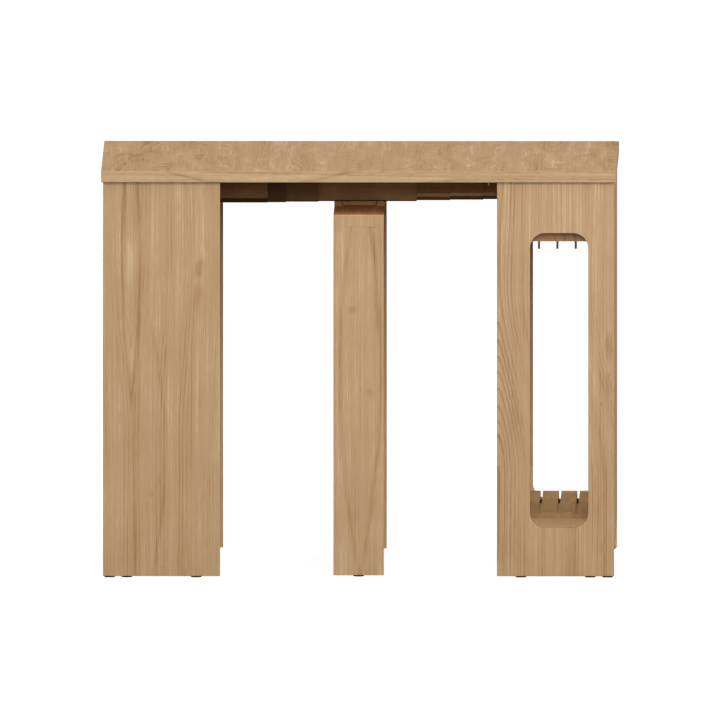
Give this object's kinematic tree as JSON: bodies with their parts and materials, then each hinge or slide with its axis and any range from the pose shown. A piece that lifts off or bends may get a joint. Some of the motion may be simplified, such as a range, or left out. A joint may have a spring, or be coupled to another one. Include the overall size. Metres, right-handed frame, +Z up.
{
  "type": "extending console table",
  "caption": "Extending console table in light wood: shell end legs, centre leg, drop-in leaf, telescopic wooden guides, and a leaf rack behind rounded slots in the end leg.",
  "frame": {"origin": "on the floor, under the middle of the top as drawn out by a single leaf", "axes": "+X along the pull towards the leg with the leaf rack, +Y across the table's depth, +Z up"},
  "size_m": [0.98, 0.9, 0.776],
  "materials": {
    "top_wood": "satin lacquered light wood",
    "leg_wood": "satin lacquered light wood",
    "rack_wood": "satin light wood",
    "guide_wood": "oiled hardwood",
    "batten_wood": "plain sawn",
    "key_plastic": "natural nylon",
    "pad_plastic": "dark brown felted",
    "steel": "zinc plated"
  },
  "bodies": {
    "centre": {"centre_leg_front_panel": "leg_wood", "centre_leg_rear_panel": "leg_wood", "centre_leg_top_board": "leg_wood", "centre_leg_spine": "leg_wood", "front_saddle_block": "guide_wood", "rear_saddle_block": "guide_wood", "saddle_cheeks": "guide_wood", "centre_leg_dowels": "batten_wood", "centre_leg_pads": "pad_plastic", "leaf": "top_wood", "leaf_tongue": "batten_wood", "leaf_clips": "steel", "front_fixed_left_guide": "guide_wood", "rear_fixed_left_guide": "guide_wood", "front_fixed_right_guide": "guide_wood", "rear_fixed_right_guide": "guide_wood", "fixed_guide_keys": "key_plastic"},
    "left_end": {"left_top": "top_wood", "left_top_clips": "steel", "left_leg_front_panel": "leg_wood", "left_leg_rear_panel": "leg_wood", "left_leg_outer_panel": "leg_wood", "left_leg_cleats": "batten_wood", "left_leg_screws": "steel", "left_leg_dowels": "batten_wood", "left_leg_pads": "pad_plastic", "front_left_outer_guide": "guide_wood", "rear_left_outer_guide": "guide_wood"},
    "left_middle_guides": {"front_left_middle_guide": "guide_wood", "rear_left_middle_guide": "guide_wood", "left_middle_guide_keys": "key_plastic"},
    "left_inner_guides": {"front_left_inner_guide": "guide_wood", "rear_left_inner_guide": "guide_wood", "left_inner_guide_keys": "key_plastic"},
    "right_end": {"right_top": "top_wood", "right_top_clips": "steel", "right_leg_front_panel": "leg_wood", "right_leg_rear_panel": "leg_wood", "right_leg_outer_panel": "leg_wood", "right_leg_cleats": "batten_wood", "right_leg_screws": "steel", "right_leg_dowels": "batten_wood", "right_leg_pads": "pad_plastic", "front_right_outer_guide": "guide_wood", "rear_right_outer_guide": "guide_wood", "right_top_tongue": "batten_wood", "rack_top_board": "rack_wood", "rack_floor_board": "rack_wood", "rack_comb_block": "rack_wood", "rack_slat_1": "rack_wood", "rack_slat_2": "rack_wood", "rack_slat_3": "rack_wood", "rack_slat_4": "rack_wood", "rack_fins": "guide_wood"},
    "right_middle_guides": {"front_right_middle_guide": "guide_wood", "rear_right_middle_guide": "guide_wood", "right_middle_guide_keys": "key_plastic"},
    "right_inner_guides": {"front_right_inner_guide": "guide_wood", "rear_right_inner_guide": "guide_wood", "right_inner_guide_keys": "key_plastic"}
  },
  "joints": [
    {"name": "left_pull", "type": "slide", "parent": "centre", "child": "left_end", "axis": [-1, 0, 0], "range_m": [0, 0.527]},
    {"name": "left_middle_slide", "type": "slide", "parent": "centre", "child": "left_middle_guides", "axis": [-1, 0, 0], "range_m": [0, 0.2878]},
    {"name": "left_inner_slide", "type": "slide", "parent": "centre", "child": "left_inner_guides", "axis": [-1, 0, 0], "range_m": [0, 0.0142]},
    {"name": "right_pull", "type": "slide", "parent": "centre", "child": "right_end", "axis": [1, 0, 0], "range_m": [0, 0.527]},
    {"name": "right_middle_slide", "type": "slide", "parent": "centre", "child": "right_middle_guides", "axis": [1, 0, 0], "range_m": [0, 0.5152]},
    {"name": "right_inner_slide", "type": "slide", "parent": "centre", "child": "right_inner_guides", "axis": [1, 0, 0], "range_m": [0, 0.2723]}
  ],
  "couplings": [
    {"joint": "left_middle_slide", "follows": "left_pull", "ratio": 0.54611},
    {"joint": "left_inner_slide", "follows": "left_pull", "ratio": 0.026944},
    {"joint": "right_middle_slide", "follows": "right_pull", "ratio": 0.97761},
    {"joint": "right_inner_slide", "follows": "right_pull", "ratio": 0.5167}
  ]
}
